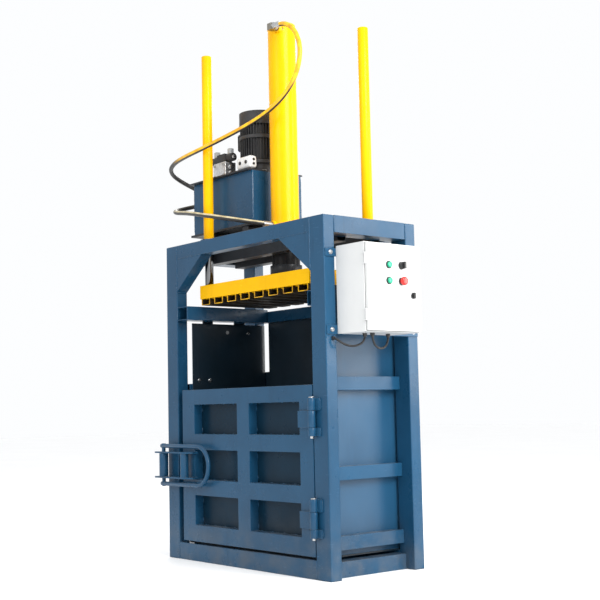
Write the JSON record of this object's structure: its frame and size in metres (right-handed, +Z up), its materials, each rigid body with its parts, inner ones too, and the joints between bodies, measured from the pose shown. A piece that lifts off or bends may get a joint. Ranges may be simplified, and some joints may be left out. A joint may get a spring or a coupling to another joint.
{
  "type": "recycling baler",
  "caption": "Vertical hydraulic baler with a steel frame, panelled front door, platen on guide rods, top cylinder, oil tank with motor, and a side control cabinet.",
  "frame": {"origin": "middle of the frame's footprint, at floor level, on the underside of the middle floor bearer", "axes": "+X to the right seen from the door side, +Y from the door to the rear, +Z up"},
  "size_m": [1.7885, 0.648, 2.77],
  "materials": {
    "frame_paint": "satin enamel",
    "ram_yellow": "gloss enamel",
    "dark_paint": "satin enamel",
    "motor_black": "semi-gloss",
    "cast_metal": "as cast, painted",
    "bare_aluminium": "machined",
    "bright_steel": "zinc plated",
    "hard_chrome": "polished",
    "hose_rubber": "braided cover",
    "cable_sheath": "smooth",
    "black_plastic": "moulded",
    "grey_plastic": "moulded",
    "cabinet_white": "powder coat",
    "green_plastic": "moulded",
    "red_plastic": "moulded"
  },
  "bodies": {
    "frame": {"front_posts": "frame_paint", "rear_posts": "frame_paint", "front_top_beam": "frame_paint", "rear_top_beam": "frame_paint", "side_top_beams": "frame_paint", "arch_gussets": "frame_paint", "base_sills": "frame_paint", "floor_plate": "frame_paint", "side_walls": "frame_paint", "rear_wall": "frame_paint", "wall_ribs": "frame_paint", "side_rails": "frame_paint", "rear_rail": "frame_paint", "cylinder_cross_beams": "frame_paint", "cylinder_mount_plate": "frame_paint", "guide_collars": "frame_paint", "cabinet_straps": "frame_paint", "frame_hinge_knuckles": "frame_paint", "hinge_pins": "bright_steel", "cylinder_barrel": "ram_yellow", "cylinder_bolts": "bright_steel", "cylinder_gland": "bright_steel", "guide_sleeves": "ram_yellow", "oil_tank": "frame_paint", "tank_stand": "dark_paint", "tank_lid": "dark_paint", "motor_bell_housing": "motor_black", "motor_body": "motor_black", "fan_cowl": "motor_black", "oil_pump": "cast_metal", "valve_manifold": "bare_aluminium", "solenoid_valve": "motor_black", "pressure_hose": "hose_rubber", "return_hose": "hose_rubber", "hose_fittings": "bright_steel", "cabinet_cable_front": "cable_sheath", "cabinet_cable_rear": "cable_sheath", "cable_glands": "black_plastic", "cabinet_case": "cabinet_white", "cabinet_switchgear": "grey_plastic"},
    "door": {"door_grid": "frame_paint", "door_back_plate": "frame_paint", "door_hinge_leaves": "frame_paint", "latch_bracket": "frame_paint"},
    "latch_handle": {"latch_handle": "frame_paint"},
    "ram": {"platen_frame": "ram_yellow", "platen_channels": "ram_yellow", "guide_rods": "hard_chrome", "piston_rod": "hard_chrome", "piston": "bright_steel"},
    "cabinet_door": {"cabinet_door": "cabinet_white", "button_bezels": "black_plastic"},
    "green_button_upper": {"green_button_upper": "green_plastic"},
    "green_button_lower": {"green_button_lower": "green_plastic"},
    "selector_knob": {"selector_knob": "black_plastic"},
    "emergency_stop": {"emergency_stop": "red_plastic"},
    "cabinet_lock": {"cabinet_lock": "black_plastic"},
    "motor_rotor": {"motor_rotor": "bright_steel", "cooling_fan": "black_plastic"},
    "filler_cap": {"filler_cap": "black_plastic"}
  },
  "joints": [
    {"name": "door_swing", "type": "hinge", "parent": "frame", "child": "door", "pos_m": [0.567, -0.313, 0.5], "axis": [0, 0, 1], "range_deg": [0, 170]},
    {"name": "latch_swing", "type": "hinge", "parent": "door", "child": "latch_handle", "pos_m": [-0.641, -0.331, 0.487], "axis": [0, 0, 1], "range_deg": [-170, 0]},
    {"name": "ram_stroke", "type": "slide", "parent": "frame", "child": "ram", "axis": [0, 0, -1], "range_m": [0, 0.85]},
    {"name": "cabinet_door_swing", "type": "hinge", "parent": "frame", "child": "cabinet_door", "pos_m": [0.855, -0.2245, 1.3], "axis": [0, 0, -1], "range_deg": [0, 110]},
    {"name": "green_button_upper_press", "type": "slide", "parent": "cabinet_door", "child": "green_button_upper", "axis": [-1, 0, 0], "range_m": [0, 0.005], "stiffness_N_per_m": 500, "springref_m": -0.002},
    {"name": "green_button_lower_press", "type": "slide", "parent": "cabinet_door", "child": "green_button_lower", "axis": [-1, 0, 0], "range_m": [0, 0.005], "stiffness_N_per_m": 500, "springref_m": -0.002},
    {"name": "selector_turn", "type": "hinge", "parent": "cabinet_door", "child": "selector_knob", "pos_m": [0.865, -0.01, 1.405], "axis": [1, 0, 0], "range_deg": [-45, 45]},
    {"name": "emergency_stop_press", "type": "slide", "parent": "cabinet_door", "child": "emergency_stop", "axis": [-1, 0, 0], "range_m": [0, 0.006], "stiffness_N_per_m": 500, "springref_m": -0.002},
    {"name": "cabinet_lock_turn", "type": "hinge", "parent": "cabinet_door", "child": "cabinet_lock", "pos_m": [0.865, 0.059, 1.27], "axis": [1, 0, 0], "range_deg": [0, 90]},
    {"name": "motor_spin", "type": "hinge", "parent": "frame", "child": "motor_rotor", "pos_m": [-0.235, 0.037, 2.2], "axis": [0, 0, 1], "continuous": true},
    {"name": "filler_cap_turn", "type": "hinge", "parent": "frame", "child": "filler_cap", "pos_m": [-0.585, 0.137, 2.04], "axis": [0, 0, 1], "continuous": true}
  ]
}
